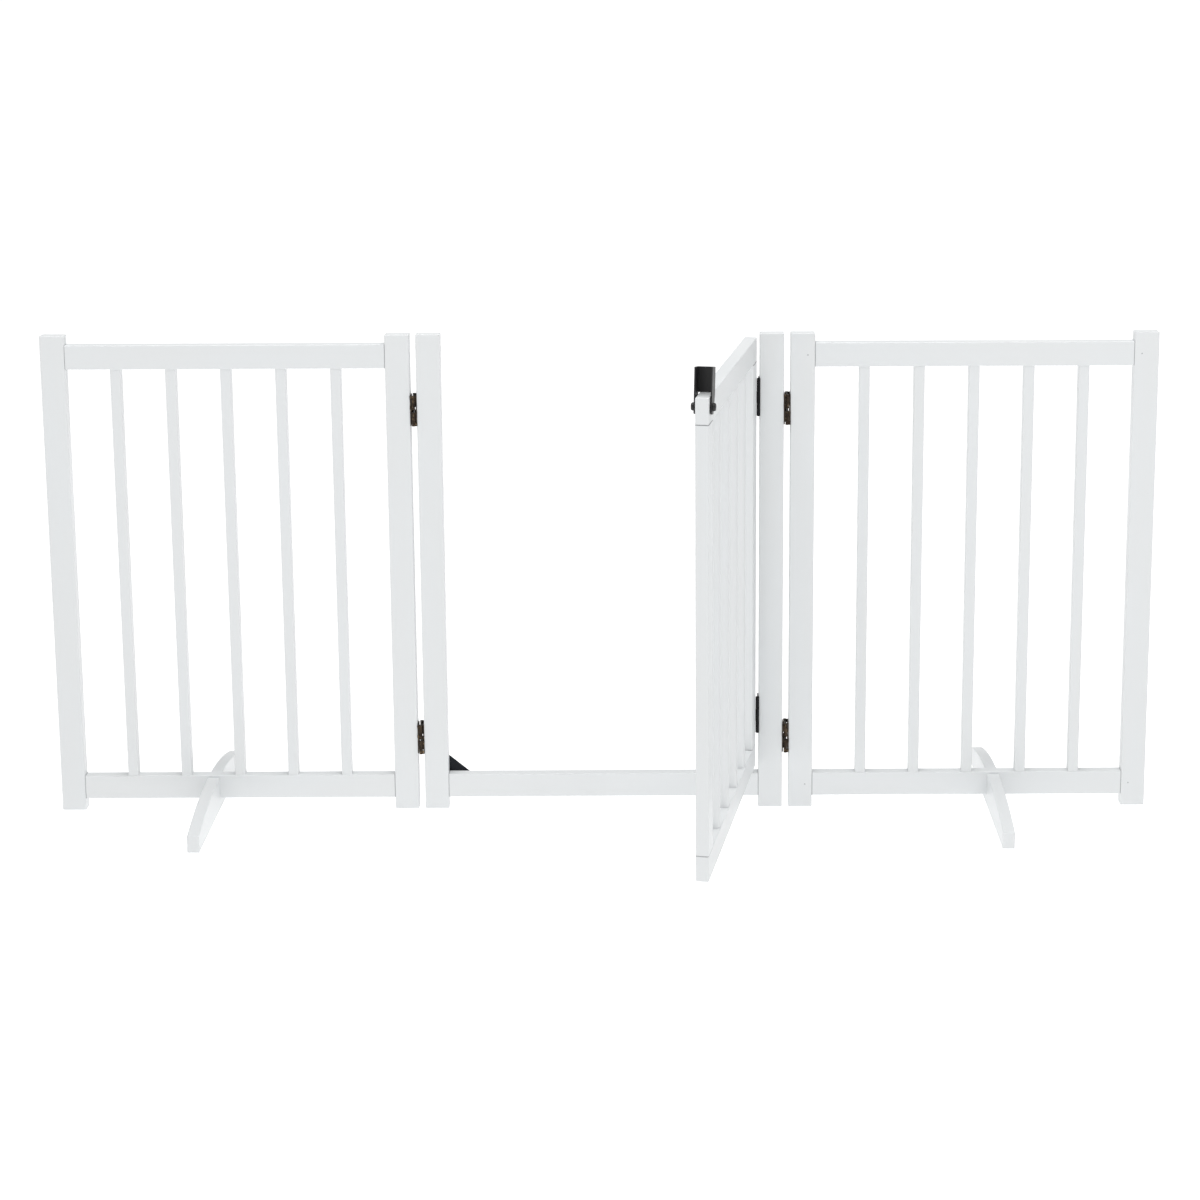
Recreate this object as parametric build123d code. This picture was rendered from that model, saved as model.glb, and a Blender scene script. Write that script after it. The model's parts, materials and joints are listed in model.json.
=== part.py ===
from build123d import *
import os

# Free-standing pet gate: two folding side panels and a centre frame with a walk-through door.
# Millimetres, +Z up, X along the gate, -Y the side that the door opens to. The three frames stand
# in one plane, GATE_Y behind the origin, which is the middle of the footprint on the floor.
GATE_Y = 117.9

# Wooden frames
HEIGHT = 610.0
STILE_W = 30.0
STILE_T = 16.0
RAIL_H = 30.0
RAIL_T = 15.0
RAIL_LOW_Z = 15.0
RAIL_DROP = 12.0
PANEL_W = 452.0
PANEL_GAP = 8.0
EDGE_R = 1.2
TENON = (16.0, 5.0, 19.0)
LET_IN = 6.0
SPINDLE = 13.0
SPINDLES = 5
BRAD_R = 0.9
BRAD_L = 12.0
BRAD_INSET = 9.0

# Support feet
FOOT_T = 15.0
FOOT_HALF = 155.0
FOOT_END_H = 21.0
FOOT_TOP_H = 42.0
FOOT_SCREW = (4.0, 2.0, 26.0)
FOOT_SCREW_SINK = 4.0

# Door, drawn closed and then swung open about its hinge pins
DOOR_T = 15.0
DOOR_GAP = 3.0
DOOR_LOW_Z = 56.0
DOOR_TOP_Z = 606.0
DOWEL_R = 6.5
DOWELS = 4
DOOR_OPEN = 80.0

# Butt hinges of the door
DOOR_PIN = (194.5, -9.5)
DOOR_HINGE_Z = (123.0, 531.0)
DOOR_HINGE_H = 46.0
DOOR_BARREL_R = 2.2
DOOR_PIN_R = 1.1
DOOR_LEAF_Y = (-6.9, 7.0)
DOOR_SCREW_DZ = 15.0

# Two-way hinges of the panels, with pins on a line in front of each gap and a line behind it
HINGE_Z = (92.0, 515.0)
HINGE_H = 38.0
HINGE_LINE_Y = 9.0
HINGE_BARREL_R = 2.2
HINGE_PIN_R = 1.0
HINGE_END_KNUCKLE = 4.5
HINGE_MID_GAP = 3.6
HINGE_LEAF_Y = 7.5
HINGE_SCREW_DZ = 10.0
LEAF_T = 1.2
LEAF_SCREW = (2.3, 1.1, 12.0)
SIDE_GAP = 0.4
RUN = 0.05

# Latch bracket, drawn upright above its pivot and then leant back
PIVOT_INSET = 12.0
ARM_FRONT = 6.0
ARM_BELOW = 8.0
ARM_UP = 43.0
WEB_X = 14.6
WEB_LOW = 15.0
SHEET = 1.5
CHANNEL = 17.0
LATCH_LEAN = 8.5
PIVOT_R = 1.6
PIVOT_HEAD = (4.5, 3.2)
PIVOT_DEPTH = 6.0

# Corner plate that stops the door
STOP_T = 2.0
STOP_X = (-212.0, -151.6)
STOP_Z = (28.0, 78.3)
STOP_SCREW = (3.2, 1.5, 11.0)

INNER_W = PANEL_W - 2 * STILE_W
TOP_RAIL_Z = HEIGHT - RAIL_DROP - RAIL_H
GAP_X = PANEL_W / 2 + PANEL_GAP / 2
DOOR_X = INNER_W / 2 - DOOR_GAP
SPINDLE_BAY = (INNER_W - SPINDLES * SPINDLE) / (SPINDLES + 1)

nodes = {}


def block(x, y, z):
    """A box between two limits along each axis, given in either order."""
    size = [abs(b - a) for a, b in (x, y, z)]
    return Pos(sum(x) / 2, sum(y) / 2, sum(z) / 2) * Box(*size)


def about(middle, size):
    return (middle - size / 2, middle + size / 2)


def eased(part, *axes):
    """The part with its edges along the given axes rounded over."""
    return fillet([edge for axis in axes for edge in part.edges().filter_by(axis)], EDGE_R)


def post(radius, z, at):
    """An upright cylinder between two heights."""
    return Pos(*at, sum(z) / 2) * Cylinder(radius, abs(z[1] - z[0]))


def less(part, *tools):
    for tool in tools:
        part -= tool
    return part


def spread(count, size, room):
    """Middles of equal bars spaced evenly across a room centred on zero."""
    pitch = (room + size) / (count + 1)
    return [(i - (count - 1) / 2) * pitch for i in range(count)]


def aim(position, outward):
    """Where a screw goes: the face of its head at the position, looking outward."""
    return Plane(origin=position, z_dir=outward).location


def cross_slot(width, depth):
    """A cross recess cut down from z = 0."""
    bar = Box(width, width * 0.22, depth)
    return Pos(0, 0, -depth / 2) * (bar + Rot(0, 0, 90) * bar)


def countersunk(head_r, shank_r, length, room=0.0):
    """A countersunk shape below z = 0, with the given room around its shank."""
    sink = head_r - shank_r
    head = Pos(0, 0, -sink / 2) * Cone(shank_r, head_r, sink)
    return head + post(shank_r + room, (-sink, -length - room), (0, 0))


def flat_screw(head_r, shank_r, length):
    slot = cross_slot(head_r, (head_r - shank_r) * 0.7)
    return countersunk(head_r, shank_r, length) - slot


def screws(spots, size):
    return [aim(*spot) * flat_screw(*size) for spot in spots]


def screw_holes(spots, size):
    return [aim(*spot) * countersunk(*size, RUN) for spot in spots]


def stile(x_low, *rails):
    """A full-height stile, mortised for the tenons of its rails."""
    wood = block((x_low, x_low + STILE_W), about(0, STILE_T), (0, HEIGHT))
    return less(eased(wood, Axis.X, Axis.Y, Axis.Z), *rails)


def rail(x_low, x_high, z_low):
    """A rail between two stiles, with a tenon on each end."""
    wood = block((x_low, x_high), about(0, RAIL_T), (z_low, z_low + RAIL_H))
    length, thickness, width = TENON
    reach = (x_low - length, x_high + length)
    return eased(wood, Axis.X) + block(reach, about(0, thickness), about(z_low + RAIL_H / 2, width))


def brads(x_low, x_high, face_y):
    """Brads through both stiles into the tenons of a panel's rails, from one face."""
    inward = -1 if face_y > 0 else 1
    y = face_y + inward * BRAD_L / 2
    places = [
        (x, z + RAIL_H / 2)
        for x in (x_low - BRAD_INSET, x_high + BRAD_INSET)
        for z in (RAIL_LOW_Z, TOP_RAIL_Z)
    ]
    return [Pos(x, y, z) * Rot(90, 0, 0) * Cylinder(BRAD_R, BRAD_L) for x, z in places]


def add_side_panels():
    """The left panel, and the same panel turned half round on the right."""
    low, high = -GAP_X - PANEL_GAP / 2 - PANEL_W, -GAP_X - PANEL_GAP / 2
    rail_low, rail_high = low + STILE_W, high - STILE_W
    middle = (low + high) / 2
    spindle_z = (RAIL_LOW_Z + RAIL_H - LET_IN, TOP_RAIL_Z + LET_IN)
    spindles = [
        eased(block(about(middle + x, SPINDLE), about(0, SPINDLE), spindle_z), Axis.Z)
        for x in spread(SPINDLES, SPINDLE, INNER_W)
    ]
    nails = brads(rail_low, rail_high, STILE_T / 2)
    foot_x = middle - (SPINDLE + SPINDLE_BAY) / 2
    foot_spots = [((foot_x, 0, FOOT_SCREW_SINK), (0, 0, -1))]
    foot_holes = screw_holes(foot_spots, FOOT_SCREW)
    leaf_spots = panel_leaf_spots(high, 1)
    top = less(rail(rail_low, rail_high, TOP_RAIL_Z), *spindles)
    bottom = less(rail(rail_low, rail_high, RAIL_LOW_Z), *spindles, *foot_holes)
    outer = less(stile(low, top, bottom), *nails)
    inner = less(stile(rail_high, top, bottom), *nails, *screw_holes(leaf_spots, LEAF_SCREW))
    add_pair("outer_stile", outer)
    add_pair("inner_stile", inner)
    add_pair("top_rail", less(top, *nails))
    add_pair("bottom_rail", less(bottom, *nails))
    for i, spindle in enumerate(spindles, 1):
        add_pair(f"spindle_{i}", spindle)
    add_pair("brads", *nails)
    add_pair("foot", less(support_foot(foot_x), *foot_holes))
    add_pair("foot_screw", *screws(foot_spots, FOOT_SCREW))
    add_pair("panel_hinge_screws", *screws(leaf_spots, LEAF_SCREW))


def support_foot(x):
    """An arched cross foot, slotted from above for the bottom rail."""
    with BuildSketch(Plane.YZ) as side:
        with BuildLine():
            Polyline((FOOT_HALF, FOOT_END_H), (FOOT_HALF, 0), (-FOOT_HALF, 0), (-FOOT_HALF, FOOT_END_H))
            ThreePointArc((-FOOT_HALF, FOOT_END_H), (0, FOOT_TOP_H), (FOOT_HALF, FOOT_END_H))
        make_face()
    foot = extrude(side.sketch, FOOT_T / 2, both=True)
    foot = Pos(x, 0, 0) * fillet(foot.edges(), EDGE_R)
    slot = block(about(x, 2 * FOOT_T), about(0, RAIL_T), (RAIL_LOW_Z, HEIGHT))
    return foot - slot - post(FOOT_SCREW[0] + RUN, (-1, FOOT_SCREW_SINK), (x, 0))


def add_centre_frame():
    """Two stiles with the threshold between them, and the plate behind the left joint."""
    half = INNER_W / 2
    threshold = rail(-half, half, RAIL_LOW_Z)
    back = STILE_T / 2 + STOP_T
    stop_spots = [((x, back, z), (0, 1, 0)) for x, z in ((-205, 63), (-205, 36), (-176, 36))]
    stop_holes = screw_holes(stop_spots, STOP_SCREW)
    left_spots = panel_leaf_spots(-PANEL_W / 2, -1)
    right_spots = panel_leaf_spots(PANEL_W / 2, 1) + door_leaf_spots(half, -1)
    left_holes = screw_holes(left_spots, LEAF_SCREW)
    right_holes = screw_holes(right_spots, LEAF_SCREW)
    nodes["frame_left_stile"] = [less(stile(-half - STILE_W, threshold), *left_holes, *stop_holes)]
    nodes["frame_right_stile"] = [less(stile(half, threshold), *right_holes)]
    nodes["threshold_rail"] = [less(threshold, *stop_holes)]
    nodes["door_stop_plate"] = [less(stop_plate(), *stop_holes)]
    nodes["door_stop_screws"] = screws(stop_spots, STOP_SCREW)
    nodes["frame_hinge_screws"] = screws(left_spots + right_spots, LEAF_SCREW)


def stop_plate():
    corners = (STOP_X[0], STOP_Z[0]), (STOP_X[0], STOP_Z[1]), (STOP_X[1], STOP_Z[0])
    with BuildSketch(Plane.XZ.offset(-STILE_T / 2)) as face:
        with BuildLine():
            Polyline(*corners, close=True)
        make_face()
        fillet(face.vertices(), 2.0)
    plate = extrude(face.sketch, -STOP_T)
    return chamfer(plate.faces().sort_by(Axis.Y)[-1].edges(), 0.4)


def door_rail(z, *joined):
    wood = block((-DOOR_X, DOOR_X), about(0, DOOR_T), z)
    return less(eased(wood, Axis.X, Axis.Y, Axis.Z), *joined)


def door_stile(x, z):
    """A door stile between the two rails, with a tenon up into one and down into the other."""
    length, thickness, width = TENON
    wood = eased(block(about(x, STILE_W), about(0, DOOR_T), z), Axis.Z)
    reach = (z[0] - length, z[1] + length)
    return wood + block(about(x, width), about(0, thickness), reach)


def add_door():
    """The door's frame and dowels, swung open to the rest position."""
    low, high = DOOR_LOW_Z + RAIL_H, DOOR_TOP_Z - RAIL_H
    stile_x = DOOR_X - STILE_W / 2
    latch_stile = door_stile(-stile_x, (low, high))
    hinge_stile = door_stile(stile_x, (low, high))
    dowel_z = (low - LET_IN, high + LET_IN)
    places = spread(DOWELS, 2 * DOWEL_R, INNER_W - 2 * DOOR_GAP - 2 * STILE_W)
    dowels = [post(DOWEL_R, dowel_z, (x, 0)) for x in places]
    joined = [latch_stile, hinge_stile, *dowels]
    leaf_spots = door_leaf_spots(DOOR_X, 1)
    pivot_holes = [aim(*spot) * post(PIVOT_R, (1, -PIVOT_DEPTH), (0, 0)) for spot in pivot_spots(0)]
    add_on_door("door_top_rail", door_rail((high, DOOR_TOP_Z), *joined, *pivot_holes))
    add_on_door("door_bottom_rail", door_rail((DOOR_LOW_Z, low), *joined))
    add_on_door("door_latch_stile", latch_stile)
    add_on_door("door_hinge_stile", less(hinge_stile, *screw_holes(leaf_spots, LEAF_SCREW)))
    for i, dowel in enumerate(dowels, 1):
        add_on_door(f"door_dowel_{i}", dowel)
    add_on_door("door_leaf_screws", *screws(leaf_spots, LEAF_SCREW))


def leaf_spots(x, y, heights, way):
    """Screws into a wooden edge at x through a leaf on it; way points from the wood to the leaf."""
    return [((x + way * LEAF_T, y, z), (way, 0, 0)) for z in heights]


def door_leaf_spots(x, way):
    heights = [z + dz for z in DOOR_HINGE_Z for dz in (-DOOR_SCREW_DZ, DOOR_SCREW_DZ)]
    return leaf_spots(x, 0, heights, way)


def panel_leaf_spots(x, way):
    heights = [z + dz for z in HINGE_Z for dz in (-HINGE_SCREW_DZ, HINGE_SCREW_DZ)]
    return leaf_spots(x, 0, heights, way)


def add_door_hinges():
    """Three-knuckle butt hinges with the barrel in front of the gap."""
    edge = {"frame": (INNER_W / 2, INNER_W / 2 - LEAF_T), "door": (DOOR_X, DOOR_X + LEAF_T)}
    made = {"frame": [], "door": []}
    pins = []
    for middle in DOOR_HINGE_Z:
        low, high = about(middle, DOOR_HINGE_H)
        third = DOOR_HINGE_H / 3
        end_spans = (low, low + third - SIDE_GAP / 2), (high - third + SIDE_GAP / 2, high)
        spans = {"frame": end_spans, "door": [about(middle, third - SIDE_GAP)]}
        bore = {"frame": DOOR_PIN_R, "door": DOOR_PIN_R + RUN}
        for side, leaves in made.items():
            leaf = block(edge[side], DOOR_LEAF_Y, (low, high))
            for span in spans[side]:
                leaf += block(edge[side], (DOOR_PIN[1], DOOR_LEAF_Y[0]), span)
                leaf += post(DOOR_BARREL_R, span, DOOR_PIN)
            leaves.append(leaf - post(bore[side], (low, high), DOOR_PIN))
        pins.append(domed_pin(low, high))
    frame_holes = screw_holes(door_leaf_spots(INNER_W / 2, -1), LEAF_SCREW)
    door_holes = screw_holes(door_leaf_spots(DOOR_X, 1), LEAF_SCREW)
    nodes["door_hinge_frame_leaves"] = [less(leaf, *frame_holes) for leaf in made["frame"]]
    nodes["door_hinge_pins"] = pins
    add_on_door("door_hinge_leaves", *[less(leaf, *door_holes) for leaf in made["door"]])


def domed_pin(low, high):
    """A hinge pin with a low round head on each end."""
    pin = post(DOOR_PIN_R, (low, high), DOOR_PIN)
    for end, tip in ((high, high + 1), (low, low - 1)):
        head = post(DOOR_BARREL_R - 0.3, (end, tip), DOOR_PIN)
        rim = head.edges().sort_by(lambda edge: abs(edge.center().Z - tip))[0]
        pin += fillet(rim, 0.7)
    return pin


def knuckles(half):
    """The spans of the two end knuckles in one half of a two-way hinge, and of the middle one."""
    ends = (half[0], half[0] + HINGE_END_KNUCKLE), (half[1] - HINGE_END_KNUCKLE, half[1])
    return ends, (ends[0][1] + SIDE_GAP, ends[1][0] - SIDE_GAP)


def two_way_leaf(middle, halves, side):
    """A leaf at the left gap, on the panel's edge (side -1) or on the frame's edge (side 1).

    In the upper half its knuckles are on the line towards the side's own sign of Y, and in the
    lower half on the other line.
    """
    edge = -GAP_X + side * PANEL_GAP / 2
    plate_x = (edge, edge - side * LEAF_T)
    leaf = block(plate_x, about(0, 2 * HINGE_LEAF_Y), about(middle, HINGE_H))
    for half, line_y in zip(halves, (side * HINGE_LINE_Y, -side * HINGE_LINE_Y)):
        outer_y = line_y + (LEAF_T / 2 if line_y > 0 else -LEAF_T / 2)
        for span in knuckles(half)[0]:
            leaf += block(plate_x, (0, outer_y), span)
            leaf += block((-GAP_X, edge), about(line_y, LEAF_T), span)
            leaf += post(HINGE_BARREL_R, span, (-GAP_X, line_y))
        leaf -= post(HINGE_PIN_R + RUN, half, (-GAP_X, line_y))
    return less(leaf, *screw_holes(panel_leaf_spots(edge, -side), LEAF_SCREW))


def cross_link(half):
    """The link between the two pins in one half of a two-way hinge, and the pins."""
    span = knuckles(half)[1]
    clear = HINGE_LINE_Y - HINGE_BARREL_R - SIDE_GAP
    link = block(about(-GAP_X, LEAF_T), about(0, 2 * HINGE_LINE_Y), span)
    link += block(about(-GAP_X, LEAF_T), about(0, 2 * clear), half)
    lines = [(-GAP_X, -HINGE_LINE_Y), (-GAP_X, HINGE_LINE_Y)]
    for line in lines:
        link += post(HINGE_BARREL_R, span, line)
    pins = [post(HINGE_PIN_R, half, line) for line in lines]
    return less(link, *pins), pins


def add_panel_hinges():
    """Two-way hinges at the left gap, and the same hinges turned half round at the right gap.

    In the upper half of the left ones the panel's knuckles are on the front line and the frame's
    on the back line; in the lower half they change places. A link joins the two lines in each
    half, so the panel folds forward about the front line and back about the back line.
    """
    names = ("upper_links", "upper_link_pins", "lower_links", "lower_link_pins")
    made = {name: [] for name in names}
    panel_leaves, frame_leaves = [], []
    for middle in HINGE_Z:
        reach = HINGE_H / 2
        upper = (middle + HINGE_MID_GAP / 2, middle + reach)
        lower = (middle - reach, middle - HINGE_MID_GAP / 2)
        panel_leaves.append(two_way_leaf(middle, (upper, lower), -1))
        frame_leaves.append(two_way_leaf(middle, (upper, lower), 1))
        for name, half in (("upper", upper), ("lower", lower)):
            link, pins = cross_link(half)
            made[f"{name}_links"].append(link)
            made[f"{name}_link_pins"] += pins
    add_pair("panel_hinge_leaves", *panel_leaves)
    add_pair("frame_hinge_leaves", *frame_leaves)
    for name, parts in made.items():
        add_pair(name, *parts)


def pivot_spots(stand_off):
    """Where the latch pivots on both faces of the door, moved out from the wood."""
    x, z = DOOR_X - PIVOT_INSET, DOOR_TOP_Z - PIVOT_INSET
    return [((-x, way * (DOOR_T / 2 + stand_off), z), (0, way, 0)) for way in (-1, 1)]


def add_latch():
    """The flip-over bracket that straddles the door's top corner, leaning back from it."""
    outer = CHANNEL / 2 + SHEET
    back = WEB_X + SHEET
    outline = [(-ARM_FRONT, -ARM_BELOW), (-ARM_FRONT, ARM_UP), (back, ARM_UP), (back, WEB_LOW)]
    outline += [(ARM_FRONT, -ARM_BELOW)]
    with BuildSketch(Plane.XZ) as side:
        with BuildLine():
            Polyline(*outline, close=True)
        make_face()
        fillet(side.vertices().group_by(Axis.Y)[0], 3.0)
    bracket = extrude(side.sketch, outer, both=True)
    bracket -= block((-50, WEB_X), about(0, CHANNEL), (-50, 100))
    bracket -= block((-50, 50), about(0, CHANNEL), (-50, WEB_LOW))
    folds = bracket.edges().filter_by(Axis.Z).group_by(Axis.X)[-1]
    bracket = fillet(folds, SHEET)
    bracket -= Rot(90, 0, 0) * Cylinder(PIVOT_R + RUN, 4 * outer)
    position, _ = pivot_spots(0)[0]
    bracket = Pos(position[0], 0, position[2]) * Rot(0, LATCH_LEAN, 0) * bracket
    add_on_door("latch_bracket", bracket)
    stand_off = outer - DOOR_T / 2 + SIDE_GAP
    depth = stand_off + PIVOT_DEPTH
    add_on_door("latch_pivot_screws", *[aim(*s) * pan_screw(depth) for s in pivot_spots(stand_off)])


def pan_screw(length):
    """A pan-head screw with the underside of its head at z = 0."""
    radius, height = PIVOT_HEAD
    head = post(radius, (0, height), (0, 0))
    head = fillet(head.edges().sort_by(Axis.Z)[-1], height * 0.55)
    slot = Pos(0, 0, height) * cross_slot(radius, height / 2)
    return head + post(PIVOT_R, (0, -length), (0, 0)) - slot


def add_pair(name, *parts):
    """A node at the left, and its copy turned half round at the right."""
    nodes[f"left_{name}"] = list(parts)
    nodes[f"right_{name}"] = [Rot(0, 0, 180) * part for part in parts]


def add_on_door(name, *parts):
    """A node on the door, swung from closed to the rest position."""
    x, y = DOOR_PIN
    swing = Pos(x, y, 0) * Rot(0, 0, DOOR_OPEN) * Pos(-x, -y, 0)
    nodes[name] = [swing * part for part in parts]


def save():
    os.makedirs("parts", exist_ok=True)
    for name, parts in nodes.items():
        solids = [solid for part in parts for solid in part.solids()]
        whole = solids[0] if len(solids) == 1 else Compound(children=solids)
        export_step(Pos(0, GATE_Y, 0) * whole, f"parts/{name}.step")


add_side_panels()
add_centre_frame()
add_door()
add_door_hinges()
add_panel_hinges()
add_latch()
save()
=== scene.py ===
import json
import math

import bpy
from mathutils import Matrix, Vector


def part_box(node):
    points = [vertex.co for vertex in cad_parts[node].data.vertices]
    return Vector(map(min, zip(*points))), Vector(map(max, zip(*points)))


# Looks for the folding pet gate: white painted wood, antique bronze panel hinges, and black door
# hinges, latch and door stop, on a pale floor in soft studio light. Metres, in the CAD row frame.
GATE_Y = 0.1179
DOOR_OPEN = math.radians(80.0)
TENON = 0.016

# Camera: its place, its turns, and its focal length and lens shift in picture widths
CAMERA_AT = (0.070411, -2.988975 + GATE_Y, 1.125938)
CAMERA_YAW = math.radians(0.244)
CAMERA_PITCH = math.radians(-10.763)
CAMERA_ROLL = math.radians(-0.194)
FOCAL = 2.471918 / 1.2
SHIFT = (-0.0565, -0.1879)
SENSOR = 36.0

# Floor: pale, with a glow that lifts it to white
FLOOR_GLOW = 0.9
FLOOR_TONES = ((0.40, 0.40, 0.40), (0.43, 0.43, 0.43))

# Studio light: name, place, point it faces, side of the square, power in watts
WORLD_STRENGTH = 0.35
GATE_MIDDLE = (0.0, GATE_Y, 0.3)
DOOR_END = (0.12, GATE_Y - 0.35, 0.35)
LIGHTS = (
    ("overhead", (0.0, GATE_Y - 0.3, 3.4), GATE_MIDDLE, 3.0, 96.0),
    ("front_left", (-2.6, -4.4, 1.9), GATE_MIDDLE, 1.6, 16.0),
    ("front_right", (1.1, -2.0, 0.9), DOOR_END, 0.8, 4.5),
    ("back_right", (2.2, 2.6, 2.4), GATE_MIDDLE, 2.0, 10.0),
)

# Paint, as linear colour
PAINT = (0.735, 0.755, 0.765)
PAINT_WARM = (0.735, 0.75, 0.755)
GRAIN_TONE = (0.70, 0.70, 0.69)
PORE_TONE = (0.62, 0.62, 0.61)
SEAM = (0.30, 0.31, 0.32)
SEAM_HALF = 0.00035

VERTICAL = (0.0, 0.0, 0.0)
ALONG_GATE = (0.0, math.pi / 2, 0.0)
ALONG_FOOT = (math.pi / 2, 0.0, 0.0)


class Graph:
    """A material's node tree, with short ways to add and join its nodes."""

    def __init__(self, name):
        self.material = bpy.data.materials.new(name)
        self.material.use_nodes = True
        self.tree = self.material.node_tree
        self.shader = self.tree.nodes["Principled BSDF"]

    def add(self, kind, **inputs):
        node = self.tree.nodes.new(kind)
        for key, value in inputs.items():
            self.join(value, node.inputs[key])
        return node

    def join(self, value, socket):
        if isinstance(value, bpy.types.NodeSocket):
            self.tree.links.new(value, socket)
        else:
            socket.default_value = value

    def math(self, operation, a, b=0.0, clamp=False):
        node = self.tree.nodes.new("ShaderNodeMath")
        node.operation, node.use_clamp = operation, clamp
        self.join(a, node.inputs[0])
        self.join(b, node.inputs[1])
        return node.outputs[0]

    def mix(self, factor, a, b):
        node = self.tree.nodes.new("ShaderNodeMix")
        node.data_type = "RGBA"
        self.join(factor, node.inputs["Factor"])
        self.join((*a, 1.0) if isinstance(a, tuple) else a, node.inputs["A"])
        self.join((*b, 1.0) if isinstance(b, tuple) else b, node.inputs["B"])
        return node.outputs["Result"]

    def place(self, turn=(0.0, 0.0, 0.0), scale=(1.0, 1.0, 1.0), move=(0.0, 0.0, 0.0)):
        """Object coordinates, turned, then scaled and moved."""
        coordinates = self.add("ShaderNodeTexCoord").outputs["Object"]
        turned = self.add("ShaderNodeMapping", Vector=coordinates, Rotation=turn)
        placed = self.add("ShaderNodeMapping", Vector=turned.outputs[0], Scale=scale, Location=move)
        return placed.outputs[0]

    def noise(self, vector, scale, detail=3.0, roughness=0.5):
        node = self.add("ShaderNodeTexNoise", Vector=vector, Scale=scale, Detail=detail)
        self.join(roughness, node.inputs["Roughness"])
        return node.outputs["Fac"]

    def ramp(self, value, low, high, start=0.0, end=1.0):
        node = self.add("ShaderNodeMapRange", Value=value)
        for key, number in (("From Min", low), ("From Max", high), ("To Min", start), ("To Max", end)):
            node.inputs[key].default_value = number
        return node.outputs[0]

    def bump(self, height, distance, strength=1.0, under=None):
        node = self.add("ShaderNodeBump", Height=height, Distance=distance, Strength=strength)
        if under is not None:
            self.join(under, node.inputs["Normal"])
        return node.outputs[0]

    def finish(self, **inputs):
        for key, value in inputs.items():
            self.join(value, self.shader.inputs[key.replace("_", " ")])
        return self.material


def seams_mask(graph, turn, seams):
    """1 on thin lines across the grain at the given places along it, 0 elsewhere."""
    along = graph.add("ShaderNodeSeparateXYZ", Vector=graph.place(turn)).outputs["Z"]
    total = None
    for seam in seams:
        distance = graph.math("ABSOLUTE", graph.math("SUBTRACT", along, seam))
        line = graph.ramp(distance, SEAM_HALF, SEAM_HALF * 2.2, 1.0, 0.0)
        total = line if total is None else graph.math("MAXIMUM", total, line)
    return total


def painted_wood(name, turn, number, seams=()):
    """Satin white paint over faint grain that runs along the piece, with dark lines at its joints."""
    g = Graph(name)
    shift = (number * 0.37, number * 0.61, number * 0.23)
    grain = g.noise(g.place(turn, (420.0, 420.0, 9.0), shift), 1.0, 4.0, 0.6)
    pores = g.noise(g.place(turn, (1500.0, 1500.0, 60.0), shift), 1.0, 2.0, 0.5)
    peel = g.noise(g.place(turn, (1.0, 1.0, 1.0), shift), 420.0, 2.0, 0.4)
    patches = g.noise(g.place(turn, (22.0, 22.0, 5.0), shift), 1.0, 3.0, 0.5)
    colour = g.mix(g.ramp(patches, 0.35, 0.7), PAINT, PAINT_WARM)
    colour = g.mix(g.ramp(grain, 0.62, 0.85, 0.0, 0.16), colour, GRAIN_TONE)
    colour = g.mix(g.ramp(pores, 0.70, 0.80, 0.0, 0.22), colour, PORE_TONE)
    if seams:
        colour = g.mix(seams_mask(g, turn, seams), colour, SEAM)
    normal = g.bump(grain, 0.00006, 0.35)
    normal = g.bump(peel, 0.00005, 0.5, normal)
    normal = g.bump(pores, 0.00004, 0.5, normal)
    rough = g.ramp(patches, 0.3, 0.7, 0.34, 0.46)
    return g.finish(Base_Color=colour, Roughness=rough, Normal=normal, Specular_IOR_Level=0.45)


def antique_bronze(name, number):
    """Dark bronze plate with brass patches: partly rubbed-through wear, partly painted highlights."""
    g = Graph(name)
    shift = (number * 0.41, number * 0.17, number * 0.29)
    cloud = g.noise(g.place(move=shift), 160.0, 4.0, 0.6)
    rub_and_highlight = g.noise(g.place(scale=(1.0, 1.0, 0.35), move=shift), 520.0, 3.0, 0.55)
    colour = g.mix(g.ramp(cloud, 0.35, 0.65), (0.020, 0.015, 0.012), (0.060, 0.042, 0.028))
    # Brass patches: partly rubbed-through wear, partly painted highlight standing in for golden
    # reflections.
    colour = g.mix(g.ramp(rub_and_highlight, 0.60, 0.72, 0.0, 0.6), colour, (0.40, 0.29, 0.17))
    rough = g.ramp(cloud, 0.3, 0.7, 0.26, 0.44)
    normal = g.bump(rub_and_highlight, 0.00006, 0.5)
    return g.finish(Base_Color=colour, Metallic=0.9, Roughness=rough, Normal=normal)


def black_coat(name, colour, number, roughness=0.36, shine=0.45):
    """A coating with fine texture and a few paler scuffs."""
    g = Graph(name)
    shift = (number * 0.31, number * 0.53, number * 0.19)
    fine = g.noise(g.place(move=shift), 1900.0, 2.0, 0.5)
    scuff = g.noise(g.place(scale=(1.0, 1.0, 0.2), move=shift), 330.0, 4.0, 0.7)
    worn = tuple(c * 2.6 + 0.01 for c in colour)
    tone = g.mix(g.ramp(scuff, 0.60, 0.74, 0.0, 0.8), colour, worn)
    rough = g.ramp(scuff, 0.35, 0.7, roughness, roughness + 0.14)
    normal = g.bump(fine, 0.00005, 0.45)
    look = {"Metallic": 0.0, "Roughness": rough, "Specular_IOR_Level": shine}
    return g.finish(Base_Color=tone, Normal=normal, **look)


def painted_steel(name):
    """Brad heads under a thin skin of paint."""
    g = Graph(name)
    fine = g.noise(g.place(), 900.0, 2.0, 0.5)
    colour = g.mix(g.ramp(fine, 0.35, 0.7), (0.36, 0.37, 0.38), (0.52, 0.53, 0.54))
    return g.finish(Base_Color=colour, Metallic=0.3, Roughness=0.45, Normal=g.bump(fine, 0.00008, 0.6))


def door_grain():
    """The turn that brings the open door's rails upright."""
    turn = Matrix.Rotation(math.pi / 2, 3, "Y") @ Matrix.Rotation(-DOOR_OPEN, 3, "Z")
    return tuple(turn.to_euler())


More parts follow.
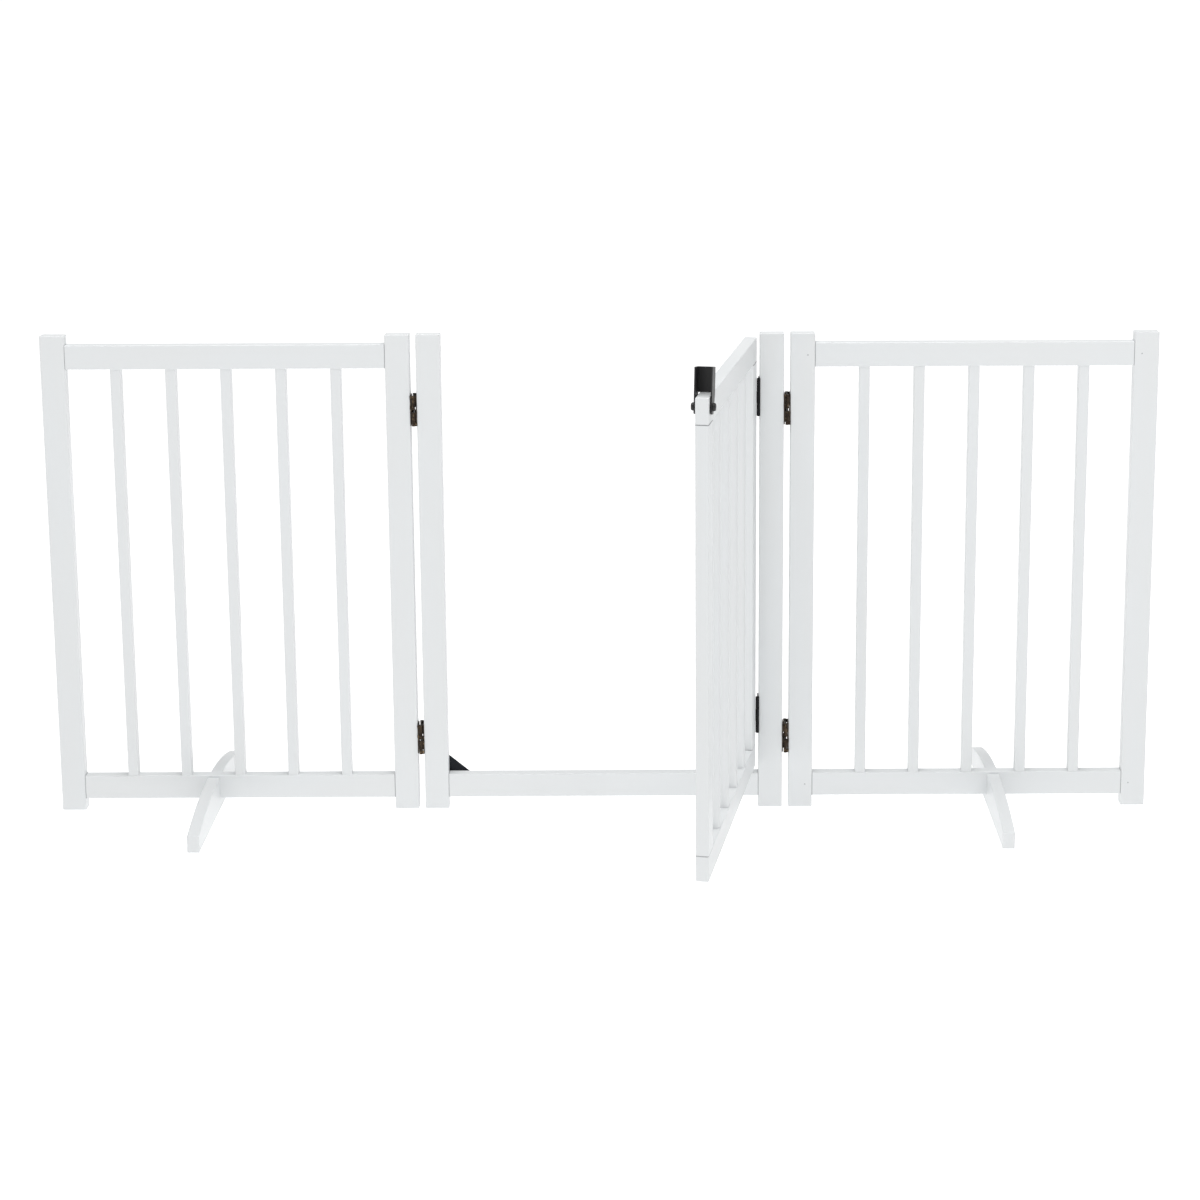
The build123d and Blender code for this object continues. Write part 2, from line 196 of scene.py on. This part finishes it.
def grain_of(node):
    """The turn that brings a wooden node's grain upright, and the seams along that grain."""
    low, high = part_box(node)
    if node in ("door_top_rail", "door_bottom_rail"):
        return door_grain(), ()
    if node.endswith("_rail"):
        return ALONG_GATE, (-(low.x + TENON), -(high.x - TENON))
    if node.endswith("_foot"):
        return ALONG_FOOT, ()
    if node in ("door_latch_stile", "door_hinge_stile"):
        return VERTICAL, (low.z + TENON, high.z - TENON)
    return VERTICAL, ()


def dress(obj, material):
    obj.data.materials.clear()
    obj.data.materials.append(material)


def dress_all(frame):
    slots = {part["node"]: part["material_slot"] for part in frame["record"]["subparts"]}
    bronze = antique_bronze("antique_bronze", 1)
    black = black_coat("black_metal", (0.011, 0.011, 0.012), 2)
    matte = black_coat("matte_black", (0.008, 0.008, 0.009), 3, 0.55, 0.2)
    slate = black_coat("slate_plate", (0.012, 0.014, 0.019), 4, 0.55, 0.2)
    steel = painted_steel("steel")
    for number, (node, obj) in enumerate(sorted(frame["nodes"].items())):
        kind = slots[node]
        if kind == "painted_wood":
            turn, seams = grain_of(node)
            dress(obj, painted_wood(f"paint_{node}", turn, number, seams))
        elif kind == "antique_bronze":
            dress(obj, bronze)
        elif kind == "steel":
            dress(obj, steel)
        elif node.startswith("door_stop"):
            dress(obj, slate)
        elif node.startswith("door_hinge") or node == "door_leaf_screws":
            dress(obj, matte)
        else:
            dress(obj, black)


def add_floor():
    bpy.ops.mesh.primitive_plane_add(size=60.0, location=(0.0, 0.0, -0.0002))
    floor = bpy.context.object
    floor.name = "floor"
    g = Graph("floor_white")
    haze = g.noise(g.place(), 1.3, 2.0, 0.5)
    tone = g.mix(g.ramp(haze, 0.3, 0.7), *FLOOR_TONES)
    glow = {"Emission_Color": (1.0, 1.0, 1.0, 1.0), "Emission_Strength": FLOOR_GLOW}
    dress(floor, g.finish(Base_Color=tone, Roughness=0.85, Specular_IOR_Level=0.2, **glow))


def add_light(name, at, aim, size, power):
    lamp = bpy.data.lights.new(name, "AREA")
    lamp.shape, lamp.size, lamp.energy = "SQUARE", size, power
    obj = bpy.data.objects.new(name, lamp)
    bpy.context.scene.collection.objects.link(obj)
    obj.location = at
    obj.rotation_euler = (Vector(aim) - Vector(at)).to_track_quat("-Z", "Y").to_euler()


def light_scene():
    world = bpy.data.worlds.new("studio")
    bpy.context.scene.world = world
    world.use_nodes = True
    background = world.node_tree.nodes["Background"]
    background.inputs["Color"].default_value = (1.0, 1.0, 1.0, 1.0)
    background.inputs["Strength"].default_value = WORLD_STRENGTH
    for light in LIGHTS:
        add_light(*light)


def add_camera():
    data = bpy.data.cameras.new("camera")
    data.sensor_width = SENSOR
    data.lens = FOCAL * SENSOR
    data.shift_x, data.shift_y = SHIFT
    data.clip_start, data.clip_end = 0.05, 100.0
    camera = bpy.data.objects.new("camera", data)
    bpy.context.scene.collection.objects.link(camera)
    turn = Matrix.Rotation(-CAMERA_YAW, 3, "Z") @ Matrix.Rotation(math.pi / 2 + CAMERA_PITCH, 3, "X")
    turn = turn @ Matrix.Rotation(CAMERA_ROLL, 3, "Z")
    camera.matrix_world = Matrix.Translation(CAMERA_AT) @ turn.to_4x4()
    bpy.context.scene.camera = camera


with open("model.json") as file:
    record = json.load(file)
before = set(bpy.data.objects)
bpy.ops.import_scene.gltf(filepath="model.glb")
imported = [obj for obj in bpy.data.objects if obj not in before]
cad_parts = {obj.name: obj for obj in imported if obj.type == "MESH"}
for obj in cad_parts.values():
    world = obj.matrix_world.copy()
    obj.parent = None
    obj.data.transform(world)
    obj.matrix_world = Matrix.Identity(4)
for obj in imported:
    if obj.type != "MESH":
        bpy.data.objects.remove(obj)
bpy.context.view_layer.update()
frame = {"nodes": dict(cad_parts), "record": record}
dress_all(frame)
add_floor()
light_scene()
add_camera()
bpy.context.scene.view_settings.view_transform = "Standard"
